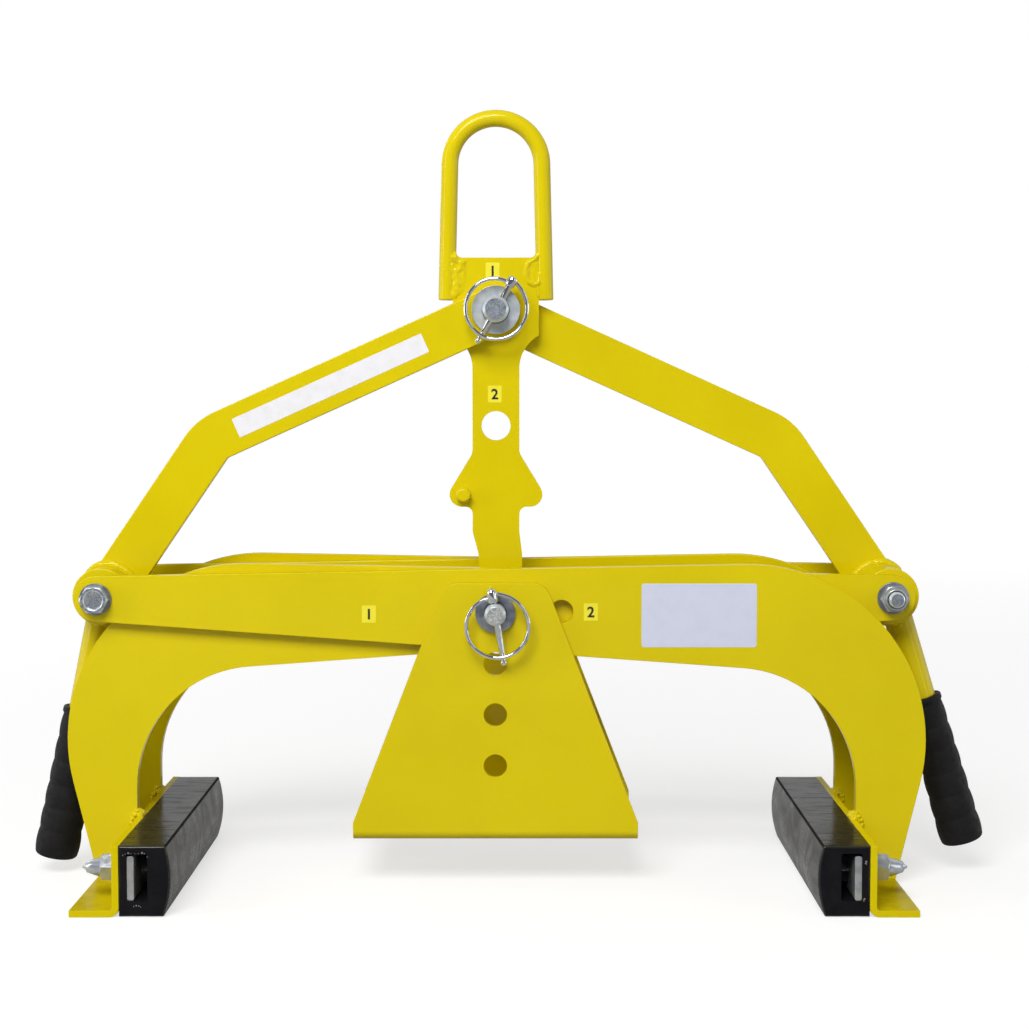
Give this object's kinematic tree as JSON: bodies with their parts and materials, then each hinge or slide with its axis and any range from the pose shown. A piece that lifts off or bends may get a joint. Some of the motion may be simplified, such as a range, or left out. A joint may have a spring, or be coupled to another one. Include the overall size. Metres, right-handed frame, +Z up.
{
  "type": "block laying tongs",
  "caption": "Scissor tongs for laying building blocks: hooked arms with rubber jaws, cranked links up to a lifting eye, hand grips and an adjustable depth stop.",
  "frame": {"origin": "centre of the depth stop's underside, the face that sits on the block", "axes": "+X to the right from jaw to jaw, +Z up, the front with the linch pins towards -Y"},
  "size_m": [0.7367, 0.25, 0.5886],
  "materials": {
    "yellow_paint": "gloss powder coat",
    "zinc_steel": "bright zinc plate",
    "grip_rubber": "matt moulded",
    "pad_rubber": "matt extruded"
  },
  "bodies": {
    "centre": {"centre_pin": "zinc_steel", "centre_washers": "zinc_steel", "centre_spacer": "zinc_steel", "centre_linch_pin": "zinc_steel"},
    "centre_ring": {"centre_linch_ring": "zinc_steel"},
    "right_arm": {"right_arm_front_plate": "yellow_paint", "right_arm_rear_plate": "yellow_paint", "right_jaw_angle": "yellow_paint", "right_pad": "pad_rubber", "right_clamp_strip": "zinc_steel", "right_pad_bolts": "zinc_steel", "right_pad_nuts": "zinc_steel", "left_pivot_bolt": "zinc_steel", "left_pivot_washers": "zinc_steel", "left_pivot_nut": "zinc_steel", "left_pivot_spacer": "zinc_steel"},
    "left_arm": {"left_arm_front_plate": "yellow_paint", "left_arm_rear_plate": "yellow_paint", "left_jaw_angle": "yellow_paint", "left_pad": "pad_rubber", "left_clamp_strip": "zinc_steel", "left_pad_bolts": "zinc_steel", "left_pad_nuts": "zinc_steel", "right_pivot_bolt": "zinc_steel", "right_pivot_washers": "zinc_steel", "right_pivot_nut": "zinc_steel", "right_pivot_spacer": "zinc_steel"},
    "left_link": {"left_link_plate": "yellow_paint", "left_boss": "yellow_paint", "left_handle_rod": "yellow_paint", "left_grip": "grip_rubber"},
    "right_link": {"right_link_plate": "yellow_paint", "right_boss": "yellow_paint", "right_handle_rod": "yellow_paint", "right_grip": "grip_rubber"},
    "top_pin": {"top_pin": "zinc_steel", "top_washers": "zinc_steel", "top_linch_pin": "zinc_steel"},
    "top_ring": {"top_linch_ring": "zinc_steel"},
    "suspension": {"suspension_plate": "yellow_paint", "lifting_eye": "yellow_paint", "thumb_stud": "yellow_paint"},
    "depth_stop": {"depth_stop": "yellow_paint"}
  },
  "joints": [
    {"name": "jaw_close", "type": "hinge", "parent": "centre", "child": "right_arm", "pos_m": [0, 0, 0.1722], "axis": [0, 1, 0], "range_deg": [0, 16]},
    {"name": "left_arm_close", "type": "hinge", "parent": "centre", "child": "left_arm", "pos_m": [0, 0, 0.1722], "axis": [0, 1, 0], "range_deg": [-16, 0]},
    {"name": "left_link_swing", "type": "hinge", "parent": "right_arm", "child": "left_link", "pos_m": [-0.2995, 0, 0.1817], "axis": [0, 1, 0], "range_deg": [-19.2, 0]},
    {"name": "right_link_swing", "type": "hinge", "parent": "left_arm", "child": "right_link", "pos_m": [0.2995, 0, 0.1817], "axis": [0, 1, 0], "range_deg": [0, 19.2]},
    {"name": "top_pin_rise", "type": "slide", "parent": "centre", "child": "top_pin", "axis": [0, 0, 1], "range_m": [0, 0.0988]},
    {"name": "eye_swing", "type": "hinge", "parent": "top_pin", "child": "suspension", "pos_m": [0, 0, 0.3992], "axis": [0, 1, 0], "range_deg": [-5, 5]},
    {"name": "stop_swing", "type": "hinge", "parent": "centre", "child": "depth_stop", "pos_m": [0, 0, 0.1722], "axis": [0, 1, 0], "range_deg": [-20, 20]},
    {"name": "centre_ring_flip", "type": "hinge", "parent": "centre", "child": "centre_ring", "pos_m": [-0.0024, -0.07375, 0.18579], "axis": [-0.9848, 0, -0.1736], "range_deg": [0, 180]},
    {"name": "top_ring_flip", "type": "hinge", "parent": "top_pin", "child": "top_ring", "pos_m": [0.01195, -0.02525, 0.4199], "axis": [-0.866, 0, 0.5], "range_deg": [0, 180]}
  ],
  "couplings": [
    {"joint": "left_arm_close", "follows": "jaw_close", "ratio": -1},
    {"joint": "left_link_swing", "follows": "jaw_close", "ratio": -1.196},
    {"joint": "right_link_swing", "follows": "jaw_close", "ratio": 1.196},
    {"joint": "top_pin_rise", "follows": "jaw_close", "m_per_rad": 0.3535}
  ]
}
